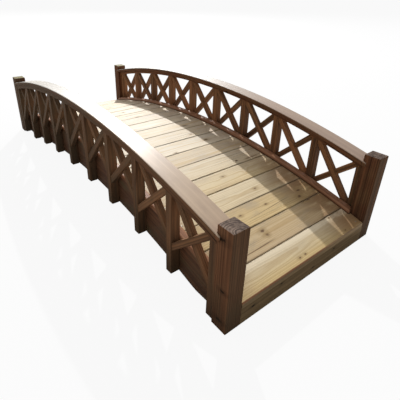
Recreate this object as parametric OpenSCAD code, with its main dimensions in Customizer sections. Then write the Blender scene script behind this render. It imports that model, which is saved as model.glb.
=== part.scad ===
// Arched timber garden bridge with crossed-batten railings, in millimetres.
// X runs along the walkway, Y across it and Z up. The ground is at Z = 0.

/* [Overall] */
// length between the end faces of the newel posts
overall_length = 2906; // [2400:10:3600]
// width over the outer faces of the newel posts
overall_width = 1128; // [900:2:1500]
// height of the deck's top face at the middle of the bridge
deck_crown = 318; // [260:1:420]
// height of the deck's top face at the two ends
deck_end_height = 119; // [90:1:180]

/* [Newel posts] */
// side of the square post
newel_side = 86; // [60:1:110]
// height of the post above the handrail that meets it
newel_stand = 38; // [15:1:90]
// bevel along the edges of the post
newel_bevel = 3; // [1:0.5:6]

/* [Side beams] */
// height of the beam's top edge above the deck, as a kerb
kerb_height = 21; // [8:1:40]
// depth of the beam, top edge to bottom edge
beam_depth = 202; // [140:1:215]
// thickness of the beam
beam_thickness = 50; // [30:1:60]
// radius on the two top edges of the beam
beam_round = 8; // [2:0.5:12]

/* [Deck] */
// thickness of a deck board
board_thickness = 28; // [18:1:40]
// gap between neighbouring boards
board_gap = 4; // [2:0.5:8]
// bevel along the top edges of a board
board_bevel = 2; // [0.5:0.5:5]
// clearance between the board ends and the beams or posts
board_end_gap = 4; // [0.5:0.5:6]
// width of the front board as a share of the board pitch
front_board_share = 0.9; // [0.6:0.05:1.2]
// width of the back board as a share of the board pitch
back_board_share = 0.65; // [0.5:0.05:1.2]

/* [Deck supports] */
// width of the strips that carry the board ends
ledger_width = 30; // [20:1:50]
// depth of the strips that carry the board ends
ledger_depth = 45; // [30:1:70]
// width of the joist under the middle of the boards
joist_width = 45; // [30:1:70]
// depth of the joist under the middle of the boards
joist_depth = 110; // [60:1:140]
// thickness of the plank that closes each end
plank_thickness = 28; // [18:1:40]

/* [Balusters] */
// width of a baluster along the bridge
baluster_width = 42; // [30:1:60]
// depth of a baluster across the bridge
baluster_depth = 52; // [46:1:62]
// setback of the balusters from the outer face of the newel posts
baluster_recess = 4; // [2:1:20]
// bevel round the foot of a baluster
baluster_bevel = 6; // [2:0.5:12]
// height of the end balusters above the ground
baluster_clearance = 6; // [2:1:15]

/* [Crossed battens] */
// face width of a batten
batten_width = 34; // [20:1:44]
// thickness of a batten
batten_thickness = 31; // [22:0.5:34]
// depth by which two battens are let into each other where they cross
batten_lap = 18; // [10:1:19]
// distance from the kerb's top edge down to the batten's lower end
batten_drop = 36; // [10:1:60]

/* [Handrails] */
// height of the handrail's top face above the deck
rail_height = 326; // [260:1:420]
// width of the handrail
rail_width = 104; // [90:1:140]
// thickness of the handrail
rail_thickness = 23; // [16:1:35]
// radius on the two top edges of the handrail
rail_round = 5; // [2:0.5:8]
// length of the ears that reach past the face of the newel post
rail_ear = 20; // [8:1:40]
// width of the bar under the handrail
under_rail_width = 60; // [52:1:70]
// thickness of the bar under the handrail
under_rail_thickness = 32; // [16:1:40]

/* [Hidden] */
board_count = 20;
baluster_count = 10;
arch_facets = 1440;
round_facets = 32;
// how far a cutting shape runs past the piece it cuts
overrun = overall_length / 50;

half_length = overall_length / 2;
half_width = overall_width / 2;
// the deck, the side beams and the handrails share one radius, set by the rise of the deck
deck_rise = deck_crown - deck_end_height;
arch_radius = (half_length * half_length + deck_rise * deck_rise) / (2 * deck_rise);
beam_crown = deck_crown + kerb_height;
rail_crown = deck_crown + rail_height;
newel_inner_y = half_width - newel_side;
newel_mid_y = half_width - newel_side / 2;
newel_face_x = half_length - newel_side;
newel_height = arc_z(newel_face_x, rail_crown - arch_radius, arch_radius) + newel_stand;

baluster_outer_y = half_width - baluster_recess;
baluster_mid_y = baluster_outer_y - baluster_depth / 2;
baluster_inner_y = baluster_outer_y - baluster_depth;
baluster_end_x = newel_face_x - baluster_width / 2;
baluster_pitch = 2 * baluster_end_x / (baluster_count - 1);

beam_inner_y = baluster_inner_y - beam_thickness;
beam_mid_y = baluster_inner_y - beam_thickness / 2;
beam_centre_z = beam_crown - arch_radius;
beam_under_radius = arch_radius - beam_depth;

deck_centre_z = deck_crown - arch_radius;
deck_under_radius = arch_radius - board_thickness;
end_angle = asin(half_length / arch_radius);
pitch_angle = 2 * end_angle / (board_count - 2 + front_board_share + back_board_share);
board_pitch = arch_radius * pitch_angle * PI / 180;
front_board_angle = end_angle - front_board_share * pitch_angle / 2;
back_board_angle = back_board_share * pitch_angle / 2 - end_angle;
board_end_y = beam_inner_y - board_end_gap;
end_board_y = newel_inner_y - board_end_gap;

ledger_outer_y = min(beam_inner_y, newel_inner_y);
ledger_mid_y = ledger_outer_y - ledger_width / 2;
support_end_x = half_length - plank_thickness;

rail_centre_z = rail_crown - arch_radius;
under_rail_radius = arch_radius - rail_thickness;
rail_under_radius = under_rail_radius - under_rail_thickness;
sweep_angle = end_angle + pitch_angle;

stain = [0.20, 0.11, 0.07];
rail_stain = [0.30, 0.21, 0.17];
pine = [0.62, 0.52, 0.36];
frame_pine = [0.45, 0.34, 0.21];

// height of an arc of the given radius and centre height at the place x
function arc_z(x, centre_z, radius) = centre_z + sqrt(radius * radius - x * x);

// place of a baluster's middle along the bridge, counted from the back end
function baluster_x(i) = i * baluster_pitch - baluster_end_x;

// angle of a deck board's middle about the arch centre, counted from the front end
function board_angle(i) =
    i == 1 ? front_board_angle :
    i == board_count ? back_board_angle :
    end_angle - (front_board_share + i - 1.5) * pitch_angle;

// share of the board pitch that a deck board covers
function board_share(i) = i == 1 ? front_board_share : i == board_count ? back_board_share : 1;

// extrudes a drawing of the side view, centred on the place y across the bridge
module side_view(y, thickness) {
    translate([0, y, 0])
        rotate([90, 0, 0])
            linear_extrude(height = thickness, center = true)
                children();
}

// section of a bar whose top edges are rounded, drawn outward from a radius
module round_top_section(inner_radius, outer_radius, width, round) {
    translate([inner_radius, -width / 2])
        square([outer_radius - inner_radius - round, width]);
    translate([inner_radius, round - width / 2])
        square([outer_radius - inner_radius, width - 2 * round]);
    for (side = [-1, 1])
        translate([outer_radius - round, side * (width / 2 - round)])
            circle(r = round, $fn = round_facets);
}

// plain section of a bar, drawn outward from a radius
module plain_section(inner_radius, outer_radius, width) {
    translate([inner_radius, -width / 2])
        square([outer_radius - inner_radius, width]);
}

// sweeps a section along the arch about a centre at the given height
module along_arch(y, centre_z) {
    translate([0, y, centre_z])
        rotate([90, 0, 0])
            rotate([0, 0, 90 - sweep_angle])
                rotate_extrude(angle = 2 * sweep_angle, $fn = arch_facets)
                    children();
}

// room above the ground between two limits along the bridge
module room_between(limit_x) {
    translate([-limit_x, -overall_width, 0])
        cube([2 * limit_x, 2 * overall_width, overall_length]);
}

// square drawing with bevels on the two top corners and on the bottom ones where asked
module bevelled_square(width, height, top_bevel, foot_bevel) {
    polygon([
        [foot_bevel - width / 2, 0], [width / 2 - foot_bevel, 0],
        [width / 2, foot_bevel], [width / 2, height - top_bevel],
        [width / 2 - top_bevel, height], [top_bevel - width / 2, height],
        [-width / 2, height - top_bevel], [-width / 2, foot_bevel]
    ]);
}

// square post drawing with its top corners bevelled
module post_outline() {
    polygon([
        [-newel_side / 2, 0], [newel_side / 2, 0],
        [newel_side / 2, newel_height - newel_bevel], [newel_side / 2 - newel_bevel, newel_height],
        [newel_bevel - newel_side / 2, newel_height], [-newel_side / 2, newel_height - newel_bevel]
    ]);
}

// newel post at one corner of the bridge
module newel(end, side) {
    color(stain)
        translate([end * (half_length - newel_side / 2), side * newel_mid_y, 0])
            intersection() {
                side_view(0, newel_side) post_outline();
                rotate([0, 0, 90]) side_view(0, newel_side) post_outline();
                linear_extrude(height = newel_height)
                    translate([0, -newel_side / 2])
                        bevelled_square(newel_side, newel_side, newel_bevel, newel_bevel);
            }
}

// arched side beam whose top edge stands above the deck as a kerb
module side_beam(side) {
    color(stain)
        intersection() {
            along_arch(side * beam_mid_y, beam_centre_z)
                round_top_section(beam_under_radius, arch_radius, beam_thickness, beam_round);
            room_between(newel_face_x);
        }
}

// arched strip along the inside of a side beam, under the board ends
module ledger(side) {
    color(frame_pine)
        intersection() {
            along_arch(side * ledger_mid_y, deck_centre_z)
                plain_section(deck_under_radius - ledger_depth, deck_under_radius, ledger_width);
            room_between(support_end_x);
        }
}

// arched joist under the middle of the boards
module middle_joist() {
    color(frame_pine)
        intersection() {
            along_arch(0, deck_centre_z)
                plain_section(deck_under_radius - joist_depth, deck_under_radius, joist_width);
            room_between(support_end_x);
        }
}

// level plank that closes one end under the last deck board
module end_plank(end, angle) {
    color(stain)
        intersection() {
            translate([end * (half_length - plank_thickness / 2) - plank_thickness / 2, -newel_inner_y, 0])
                cube([plank_thickness, 2 * newel_inner_y, deck_crown]);
            translate([0, 0, deck_centre_z])
                rotate([0, angle, 0])
                    translate([-overall_length, -overall_width, 0])
                        cube([2 * overall_length, 2 * overall_width, deck_under_radius]);
        }
}

// flat board between two places along its own face, in the place it takes on the arch
module board_slab(angle, from, to, half_span) {
    translate([0, 0, deck_centre_z])
        rotate([0, angle, 0])
            translate([0, 0, deck_under_radius])
                side_view(0, 2 * half_span)
                    polygon([
                        [from, 0], [to, 0],
                        [to, board_thickness - board_bevel], [to - board_bevel, board_thickness],
                        [from + board_bevel, board_thickness], [from, board_thickness - board_bevel]
                    ]);
}

// deck board in the run between the two end boards
module deck_board(i) {
    half_board = (board_share(i) * board_pitch - board_gap) / 2;
    color(pine) board_slab(board_angle(i), -half_board, half_board, board_end_y);
}

// end board, cut flush with the post faces and notched round the beams and posts
module end_board(i, end) {
    half_pitch = board_share(i) * board_pitch / 2;
    inner = half_pitch - board_gap / 2;
    outer = half_pitch + overrun;
    notch_y = min(board_end_y, end_board_y);
    color(pine)
        difference() {
            intersection() {
                board_slab(board_angle(i), end > 0 ? -inner : -outer, end > 0 ? outer : inner,
                    max(board_end_y, end_board_y));
                room_between(half_length);
            }
            for (side = [-1, 1]) {
                translate([-newel_face_x - board_end_gap,
                    side > 0 ? board_end_y : -board_end_y - overall_width, 0])
                    cube([2 * (newel_face_x + board_end_gap), overall_width, overall_length]);
                translate([end > 0 ? newel_face_x - board_end_gap : -newel_face_x - overall_length + board_end_gap,
                    side > 0 ? end_board_y : -end_board_y - overall_width, 0])
                    cube([overall_length, overall_width, overall_length]);
            }
        }
}

// balusters of one railing, each from the beam's bottom edge up to the bar under the handrail
module balusters(side) {
    color(stain)
        for (i = [0 : baluster_count - 1]) {
            x = baluster_x(i);
            foot = max(baluster_clearance, arc_z(x, beam_centre_z, beam_under_radius));
            intersection() {
                side_view(side * baluster_mid_y, baluster_depth)
                    intersection() {
                        translate([x, foot])
                            bevelled_square(baluster_width, rail_crown, baluster_bevel, baluster_bevel);
                        translate([0, rail_centre_z])
                            circle(r = rail_under_radius, $fn = arch_facets);
                    }
                translate([x, side * baluster_mid_y, foot])
                    rotate([0, 0, 90])
                        side_view(0, baluster_width)
                            bevelled_square(baluster_depth, rail_crown, baluster_bevel, baluster_bevel);
            }
        }
}

// drawing of one slanting batten between two places, trimmed to its bay and to the rail above
module batten_outline(left_x, left_z, right_x, right_z) {
    run = right_x - left_x;
    rise = right_z - left_z;
    intersection() {
        translate([left_x, left_z])
            rotate([0, 0, atan2(rise, run)])
                translate([-overrun, -batten_width / 2])
                    square([norm([run, rise]) + 2 * overrun, batten_width]);
        translate([left_x, 0])
            square([run, rail_crown]);
        translate([0, rail_centre_z])
            circle(r = rail_under_radius, $fn = arch_facets);
    }
}

// battens of one layer of one railing, all slanting the same way
module batten_layer(side, layer, falling) {
    layer_y = baluster_mid_y + layer * (batten_thickness - batten_lap) / 2;
    for (i = [0 : baluster_count - 2]) {
        left_x = baluster_x(i) + baluster_width / 2;
        right_x = baluster_x(i + 1) - baluster_width / 2;
        high_x = falling ? left_x : right_x;
        low_x = falling ? right_x : left_x;
        high_z = arc_z(high_x, rail_centre_z, rail_under_radius);
        low_z = arc_z(low_x, beam_centre_z, arch_radius) - batten_drop;
        side_view(side * layer_y, batten_thickness)
            batten_outline(left_x, falling ? high_z : low_z, right_x, falling ? low_z : high_z);
    }
}

// inner battens, which run through whole
module inner_battens(side) {
    color(stain) batten_layer(side, -1, true);
}

// outer battens, notched where the inner ones cross them
module outer_battens(side) {
    color(stain)
        difference() {
            batten_layer(side, 1, false);
            batten_layer(side, -1, true);
        }
}

// bar under the handrail, from post to post
module under_rail(side) {
    color(stain)
        intersection() {
            along_arch(side * baluster_mid_y, rail_centre_z)
                plain_section(rail_under_radius, under_rail_radius, under_rail_width);
            room_between(newel_face_x);
        }
}

// handrail, notched round the posts at both ends
module handrail(side) {
    color(rail_stain)
        difference() {
            intersection() {
                along_arch(side * newel_mid_y, rail_centre_z)
                    round_top_section(under_rail_radius, arch_radius, rail_width, rail_round);
                room_between(newel_face_x + rail_ear);
            }
            for (end = [-1, 1])
                translate([end > 0 ? newel_face_x : -half_length - overrun,
                    side * newel_mid_y - newel_side / 2, 0])
                    cube([newel_side + overrun, newel_side, overall_length]);
        }
}

module front_left_newel() { newel(1, -1); }
module front_right_newel() { newel(1, 1); }
module back_left_newel() { newel(-1, -1); }
module back_right_newel() { newel(-1, 1); }
module left_side_beam() { side_beam(-1); }
module right_side_beam() { side_beam(1); }
module left_ledger() { ledger(-1); }
module right_ledger() { ledger(1); }
module centre_joist() { middle_joist(); }
module front_end_plank() { end_plank(1, front_board_angle); }
module back_end_plank() { end_plank(-1, back_board_angle); }
module left_balusters() { balusters(-1); }
module right_balusters() { balusters(1); }
module left_inner_battens() { inner_battens(-1); }
module left_outer_battens() { outer_battens(-1); }
module right_inner_battens() { inner_battens(1); }
module right_outer_battens() { outer_battens(1); }
module left_under_rail() { under_rail(-1); }
module right_under_rail() { under_rail(1); }
module left_handrail() { handrail(-1); }
module right_handrail() { handrail(1); }
module deck_board_01() { end_board(1, 1); }
module deck_board_02() { deck_board(2); }
module deck_board_03() { deck_board(3); }
module deck_board_04() { deck_board(4); }
module deck_board_05() { deck_board(5); }
module deck_board_06() { deck_board(6); }
module deck_board_07() { deck_board(7); }
module deck_board_08() { deck_board(8); }
module deck_board_09() { deck_board(9); }
module deck_board_10() { deck_board(10); }
module deck_board_11() { deck_board(11); }
module deck_board_12() { deck_board(12); }
module deck_board_13() { deck_board(13); }
module deck_board_14() { deck_board(14); }
module deck_board_15() { deck_board(15); }
module deck_board_16() { deck_board(16); }
module deck_board_17() { deck_board(17); }
module deck_board_18() { deck_board(18); }
module deck_board_19() { deck_board(19); }
module deck_board_20() { end_board(board_count, -1); }

front_left_newel();
front_right_newel();
back_left_newel();
back_right_newel();
left_side_beam();
right_side_beam();
left_ledger();
right_ledger();
centre_joist();
front_end_plank();
back_end_plank();
left_balusters();
right_balusters();
left_inner_battens();
left_outer_battens();
right_inner_battens();
right_outer_battens();
left_under_rail();
right_under_rail();
left_handrail();
right_handrail();
deck_board_01();
deck_board_02();
deck_board_03();
deck_board_04();
deck_board_05();
deck_board_06();
deck_board_07();
deck_board_08();
deck_board_09();
deck_board_10();
deck_board_11();
deck_board_12();
deck_board_13();
deck_board_14();
deck_board_15();
deck_board_16();
deck_board_17();
deck_board_18();
deck_board_19();
deck_board_20();
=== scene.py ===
"""Arched timber garden bridge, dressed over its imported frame.

Each timber is a rounded outline carried along a path and worked out as whole arrays. It carries
its own grain coordinates (along the fibres, and two across them from the heart of the log), so
that growth rings, fibres and knots run the way that piece was sawn, on its faces and its ends.
"""
import math

import bpy
import numpy as np
from bpy.props import FloatProperty, FloatVectorProperty, PointerProperty
from mathutils import Matrix, Vector


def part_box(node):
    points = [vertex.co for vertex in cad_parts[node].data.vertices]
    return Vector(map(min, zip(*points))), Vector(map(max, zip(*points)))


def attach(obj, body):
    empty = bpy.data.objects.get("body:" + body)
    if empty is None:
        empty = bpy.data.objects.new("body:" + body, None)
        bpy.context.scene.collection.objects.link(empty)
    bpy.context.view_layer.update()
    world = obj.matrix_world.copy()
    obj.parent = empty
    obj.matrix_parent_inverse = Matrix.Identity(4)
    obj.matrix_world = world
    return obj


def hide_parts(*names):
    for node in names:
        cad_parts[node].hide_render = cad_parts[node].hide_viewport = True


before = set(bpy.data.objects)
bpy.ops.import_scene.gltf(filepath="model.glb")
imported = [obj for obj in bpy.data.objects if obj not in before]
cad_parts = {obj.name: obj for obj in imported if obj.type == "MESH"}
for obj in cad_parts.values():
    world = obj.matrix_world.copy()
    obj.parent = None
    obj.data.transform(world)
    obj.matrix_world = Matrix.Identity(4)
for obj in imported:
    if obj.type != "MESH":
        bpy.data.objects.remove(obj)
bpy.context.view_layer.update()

bl_info = {
    "name": "Arched Garden Bridge",
    "version": (1, 0, 0),
    "blender": (4, 5, 0),
    "location": "View3D > Sidebar > Bridge",
    "description": "Timbers, finishes and stage of an arched garden bridge",
    "category": "Object",
}

BODY = "root"
SIDES = {"left": -1, "right": 1}
ENDS = {"front": 1, "back": -1}
BOARD_COUNT = 20
BALUSTER_COUNT = 10

# knots that stand out on the deck: place along and across the bridge, and radius
KNOTS = (
    (0.786, 0.025, 0.008), (0.963, 0.117, 0.009), (1.090, 0.071, 0.006), (1.089, -0.127, 0.007),
    (1.219, -0.102, 0.010), (1.250, -0.099, 0.009), (1.426, -0.058, 0.006), (1.424, -0.015, 0.005),
    (1.336, 0.318, 0.006), (1.099, 0.347, 0.009), (1.140, 0.312, 0.013), (0.420, -0.060, 0.007),
    (1.180, 0.327, 0.013), (1.182, 0.285, 0.007), (1.434, 0.328, 0.005), (0.240, 0.210, 0.008),
    (-0.060, -0.150, 0.007), (-0.326, 0.093, 0.010), (-0.542, 0.070, 0.012), (-0.833, 0.090, 0.013),
    (-1.121, 0.169, 0.013), (-0.810, -0.200, 0.009), (0.366, 0.246, 0.012))
# knots on the front left post's outer face, the last of them standing for a painted shadow under the
# handrail's ear, and knots on the front plank: place and radius
POST_KNOTS_AND_SHADOW = ((1.422, -0.564, 0.213, 0.010), (1.410, -0.564, 0.051, 0.012), (1.391, -0.564, 0.455, 0.015))
PLANK_KNOTS = ((1.453, -0.405, 0.062, 0.007), (1.453, -0.219, 0.080, 0.006),
               (1.453, 0.030, 0.040, 0.005), (1.453, 0.205, 0.072, 0.006))

# tones, from pale to tan on the boards and from deep to warm on the stained timbers
BOARD_TONES = (0.0, 0.8)
FIRST_BOARD_TONES = (0.14, 0.80, 0.66, 0.05, 0.25, 0.08)
POST_TONES = {("front", "left"): 0.62, ("front", "right"): 0.25,
              ("back", "left"): 0.5, ("back", "right"): 0.4}
# how much the tone changes from the middle of a timber to its edge
BOARD_LEAN = 0.12
FIRST_BOARD_LEAN = 0.40
POST_LEAN = 0.30
PLANK_TONE = 0.15
FRONT_BALUSTER_TONES = {"left": (0.40, -0.05), "right": (0.04, -0.35)}

# small sizes in metres: eased ends, rounded edges and short steps
BOARD_END_EASE = 0.0015
NOTCH_STEP = 0.0005
END_BOARD_ROUNDS = (0.0004, 0.0050)
POST_EASES = (0.001, 0.003)
PLANK_EASE = 0.0005
PLANK_ROUNDS = (0.0015, 0.0015, 0.0004, 0.0004)
BATTEN_ROUND = 0.002
RAIL_ROUNDS = (0.002, 0.002, 0.003, 0.003)
EAR_ROUND = 0.003
EAR_EASE = 0.002
EAR_OVERLAP = 0.004
SCREW_SINK = 0.0002
# a screw head's outlines: distance from its middle, and height
SCREW_REACH = (0.0040, 0.0040, 0.0034, 0.0017, 0.0012)
SCREW_RISE = (-0.0016, 0.0000, 0.0003, 0.0002, -0.0009)

# stain on the end boards' top edges: the place across where it would run out, the length over which
# it fades, and the least that is left
EDGE_STAIN_END = 0.32
EDGE_STAIN_FADE = 0.25
EDGE_STAIN_LEAST = 0.2

# shares of a size that they follow
CUP_SHARES = (-1.0, 0.4)
STRAY_SHARE = 0.7
BEVEL_SLOPE_SHARE = 0.8
SCREW_SHARE = 0.29
END_CAP_SHARE = 0.1
SIDE_SHARES = (0.03, 0.35, 0.65, 0.97)
BOARD_SIDE_SHARES = (0.02, 0.2, 0.4, 0.6, 0.8, 0.98)
PLANK_SIDE_SHARES = (0.03, 0.25, 0.5, 0.75, 0.97)

# steps of the meshes
ARC_STEPS = 3
BOARD_STEPS = 24
POST_STEPS = 22
PLANK_STEPS = 24
BEVEL_STEPS = 2
BALUSTER_STEPS = 14
BATTEN_STEPS = 11
BEAM_STEPS = 96
RAIL_STEPS = 128
EAR_STEPS = 4
SCREW_SIDES = 12
SHARP_ANGLE = math.radians(38)

# distances of the heart of the log from the middle of a timber, in metres
BOARD_HEART = (0.035, 0.11)
POST_HEART = (0.03, 0.055)
PLANK_HEART = (0.05, 0.10)
ARCH_HEART = (0.05, 0.12)
SLAT_HEART = (0.02, 0.07)

FLOOR_REACH = 90.0
VIEW_REACH = 400.0
LIGHTS_AIM = Vector((0.0, 0.0, 0.3))
WHITE = (1.0, 1.0, 1.0, 1.0)


def length(name, description, default):
    """A length in metres that a user may change."""
    return FloatProperty(name=name, description=description, default=default, min=0.0, precision=4,
                         unit="LENGTH")


def share(name, description, default):
    """A plain factor that a user may change."""
    return FloatProperty(name=name, description=description, default=default, min=0.0, max=2.0,
                         subtype="FACTOR")


def power(name, description, default):
    """A lamp's power in watts that a user may change."""
    return FloatProperty(name=name, description=description, default=default, unit="POWER")


def place(name, description, default):
    """A place in metres that a user may change."""
    return FloatVectorProperty(name=name, description=description, default=default, size=3,
                               subtype="TRANSLATION", unit="LENGTH")


def colour(name, description, default):
    """A linear colour that a user may change."""
    return FloatVectorProperty(name=name, description=description, default=default, size=3, min=0.0,
                               max=1.0, subtype="COLOR")


class BridgeSizes(bpy.types.PropertyGroup):
    """Sizes of the timbers, in metres."""

    half_length: length("Half length", "Middle of the bridge to a post's end face",
                        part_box("front_left_newel")[1].x)
    half_width: length("Half width", "Middle of the walkway to a post's outer face",
                       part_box("front_right_newel")[1].y)
    newel_side: length("Newel side", "Side of a square newel post", 0.086)
    newel_height: length("Newel height", "Top of a newel post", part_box("front_left_newel")[1].z)
    deck_crown: length("Deck crown", "Height of the deck at the middle", 0.318)
    deck_end: length("Deck end", "Height of the deck at the two ends", 0.119)
    kerb_height: length("Kerb height", "Side beam's top edge above the deck", 0.021)
    rail_height: length("Rail height", "Handrail's top above the deck", 0.326)
    beam_depth: length("Beam depth", "Depth of a side beam", 0.202)
    beam_thickness: length("Beam thickness", "Thickness of a side beam", 0.050)
    board_thickness: length("Board thickness", "Thickness of a deck board", 0.028)
    board_gap: length("Board gap", "Gap between deck boards", 0.004)
    board_end_gap: length("Board end gap", "Clearance at the ends of the boards", 0.004)
    front_board_share: share("Front board", "Width of the front board as a share of the pitch", 0.90)
    back_board_share: share("Back board", "Width of the back board as a share of the pitch", 0.65)
    plank_thickness: length("Plank thickness", "Thickness of an end plank", 0.028)
    baluster_width: length("Baluster width", "Baluster's size along the bridge", 0.042)
    baluster_depth: length("Baluster depth", "Baluster's size across the bridge", 0.052)
    baluster_recess: length("Baluster recess", "Balusters' setback from the post's outer face", 0.004)
    baluster_clearance: length("Baluster clearance", "Height of the end balusters above the ground", 0.006)
    baluster_bevel: length("Baluster bevel", "Bevel round the foot of a baluster", 0.006)
    batten_width: length("Batten width", "Face width of a slanting batten", 0.034)
    batten_thickness: length("Batten thickness", "Thickness of a slanting batten", 0.031)
    batten_lap: length("Batten lap", "Depth by which crossing battens are let into each other", 0.018)
    batten_drop: length("Batten drop", "Batten's lower end below the kerb's top edge", 0.036)
    rail_width: length("Rail width", "Width of a handrail", 0.104)
    rail_thickness: length("Rail thickness", "Thickness of a handrail", 0.023)
    rail_ear: length("Rail ear", "Reach of the handrail's ears past the post's face", 0.020)
    under_rail_width: length("Under rail width", "Width of the bar under a handrail", 0.060)
    under_rail_thickness: length("Under rail thickness", "Thickness of the bar under a handrail", 0.032)
    arris: length("Arris", "Radius along the edges of the sawn timbers", 0.0028)
    board_arris: length("Board arris", "Radius along the edges of the deck boards", 0.0032)
    kerb_round: length("Kerb round", "Radius along the top edges of the side beams", 0.012)
    warp: length("Warp", "How far a board strays from flat and straight", 0.0009)


class BridgeColours(bpy.types.PropertyGroup):
    """Colours of the finishes."""

    stain_deep: colour("Deep stain", "Darker stain on posts and beams", (0.076, 0.031, 0.017))
    stain_warm: colour("Warm stain", "Redder stain on posts and beams", (0.265, 0.115, 0.054))
    stain_worn: colour("Worn stain", "Stain rubbed thin along the edges", (0.260, 0.140, 0.066))
    slat_deep: colour("Deep slat stain", "Darker stain on balusters and battens", (0.085, 0.044, 0.025))
    slat_warm: colour("Warm slat stain", "More orange stain on balusters and battens", (0.405, 0.187, 0.084))
    # painted shade: darkens the stain towards the lower edge of the bridge's sides and the ground
    painted_low_shade: colour("Damp stain", "Stain darkened by damp near the ground", (0.020, 0.016, 0.010))
    post_film: colour("Post film", "Dull film on the end faces of the newel posts", (0.077, 0.056, 0.033))
    algae: colour("Algae", "Dark green film on the shaded outer side", (0.098, 0.070, 0.042))
    silver: colour("Silvered rail", "Weathered handrail tops towards the back", (0.400, 0.385, 0.350))
    plank_deep: colour("Deep plank stain", "Darker stain on the end planks", (0.172, 0.115, 0.056))
    plank_warm: colour("Warm plank stain", "Paler stain on the end planks", (0.345, 0.228, 0.112))
    top_deep: colour("Deep post top", "Late wood on the end grain of the post tops", (0.042, 0.028, 0.024))
    top_pale: colour("Pale post top", "Early wood on the end grain of the post tops", (0.268, 0.196, 0.152))
    moss: colour("Moss", "Pale growth on the tops of the back posts", (0.255, 0.232, 0.112))
    kerb_deep: colour("Deep kerb", "Darker streaks along the tops of the side beams", (0.190, 0.083, 0.043))
    kerb_warm: colour("Warm kerb", "Paler streaks along the tops of the side beams", (0.420, 0.210, 0.115))
    rail_deep: colour("Deep rail top", "Darker streaks on the bleached rail tops", (0.308, 0.211, 0.156))
    rail_warm: colour("Warm rail top", "Paler streaks on the bleached rail tops", (0.540, 0.398, 0.272))
    pine_pale: colour("Pale pine", "Early wood of the deck boards", (0.760, 0.635, 0.420))
    pine_honey: colour("Honey pine", "Late wood and resin streaks of the deck boards", (0.465, 0.300, 0.125))
    pine_amber: colour("Amber pine", "Yellower boards of the deck", (0.700, 0.530, 0.260))
    pine_tan: colour("Tan pine", "Browner boards of the deck", (0.590, 0.450, 0.295))
    pine_grey: colour("Grey pine", "Weathered film on the deck boards", (0.440, 0.352, 0.240))
    pine_cream: colour("Cream pine", "Scoured sapwood along a deck board", (0.930, 0.800, 0.590))
    pine_silver: colour("Silvered pine", "Deck boards bleached towards the back", (0.600, 0.560, 0.505))
    # trodden grime along the kerbs, which beside the front right kerb also paints the warm shade there
    pine_dirt_and_shade: colour("Trodden dirt", "Dirt trodden into the boards along the kerbs", (0.270, 0.145, 0.062))
    knot: colour("Knot", "Heart of a knot", (0.090, 0.040, 0.020))
    frame_pine: colour("Frame pine", "Bare timber under the deck", (0.420, 0.300, 0.165))
    zinc: colour("Zinc", "Plated screw heads", (0.360, 0.340, 0.290))


class BridgeStage(bpy.types.PropertyGroup):
    """Camera, floor and light."""

    camera_place: place("Camera place", "Where the camera stands", (2.1401, -1.3219, 1.2851))
    camera_turn: FloatVectorProperty(
        name="Camera turn", description="Azimuth, elevation and roll of the view", size=3,
        default=tuple(math.radians(a) for a in (52.124, 25.964, 1.024)), subtype="EULER", unit="ROTATION")
    camera_lens: FloatProperty(name="Lens", description="Focal length", default=32.209,
                               subtype="DISTANCE_CAMERA", unit="CAMERA")
    camera_shift: FloatVectorProperty(name="Shift", description="Shift of the frame across and up", size=2,
                                      default=(0.0380, -0.0983))
    floor_colour: colour("Floor", "Colour of the plain floor", (0.58, 0.58, 0.58))
    floor_white: share("Floor white", "Share of plain white in the floor that the camera sees", 0.92)
    side_light_place: place("Side light", "Where the small side light hangs", (-12.5, 7.0, 9.6))
    side_light_size: length("Side light size", "Width of the small side light", 0.22)
    side_light_power: power("Side light power", "Power of the small side light", 3720.0)
    back_light_place: place("Back light", "Where the broad back light stands", (-6.1, 3.3, 3.3))
    back_light_width: length("Back light width", "Width of the broad back light", 5.0)
    back_light_height: length("Back light height", "Height of the broad back light", 3.4)
    back_light_power: power("Back light power", "Power of the broad back light", 175.0)
    sky_strength: share("Sky", "Strength of the even light from all round", 0.46)


class Arch:
    """Places that the timbers share, worked out from the sizes."""

    def __init__(self, s):
        rise = s.deck_crown - s.deck_end
        self.radius = (s.half_length ** 2 + rise ** 2) / (2 * rise)
        self.deck_centre = s.deck_crown - self.radius
        self.beam_crown = s.deck_crown + s.kerb_height
        self.rail_crown = s.deck_crown + s.rail_height
        self.rail_under = s.rail_thickness + s.under_rail_thickness
        self.post_face = s.half_length - s.newel_side
        self.post_inner = s.half_width - s.newel_side
        self.post_middle = s.half_width - s.newel_side / 2
        self.baluster_middle = s.half_width - s.baluster_recess - s.baluster_depth / 2
        self.beam_outer = self.baluster_middle - s.baluster_depth / 2
        self.beam_inner = self.beam_outer - s.beam_thickness
        reach = self.post_face - s.baluster_width / 2
        self.baluster_places = np.linspace(-reach, reach, BALUSTER_COUNT)
        # the boards' widths as shares of the pitch, and their tilts, counted from the front
        shares = np.ones(BOARD_COUNT)
        shares[[0, -1]] = s.front_board_share, s.back_board_share
        end_angle = math.asin(s.half_length / self.radius)
        pitch_angle = 2 * end_angle / shares.sum()
        self.board_angles = end_angle - pitch_angle * (np.cumsum(shares) - shares / 2)
        self.board_widths = shares * self.radius * pitch_angle

    def height(self, x, crown, below=0.0):
        """Height at x of the arc that tops at crown, or of the one drawn inside it by the distance below."""
        return crown - self.radius + np.sqrt((self.radius - below) ** 2 - np.square(x))


def corners_of(*pairs):
    """Stacks pairs of coordinates, plain or arrays, as the corners of one outline at each place."""
    return np.stack([np.stack(np.broadcast_arrays(*pair), -1) for pair in pairs], -2)


def rectangle(width, depth):
    """Corners of a rectangle about the origin, counter-clockwise."""
    return np.array([width, depth]) / 2 * [[-1, -1], [1, -1], [1, 1], [-1, 1]]


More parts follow.
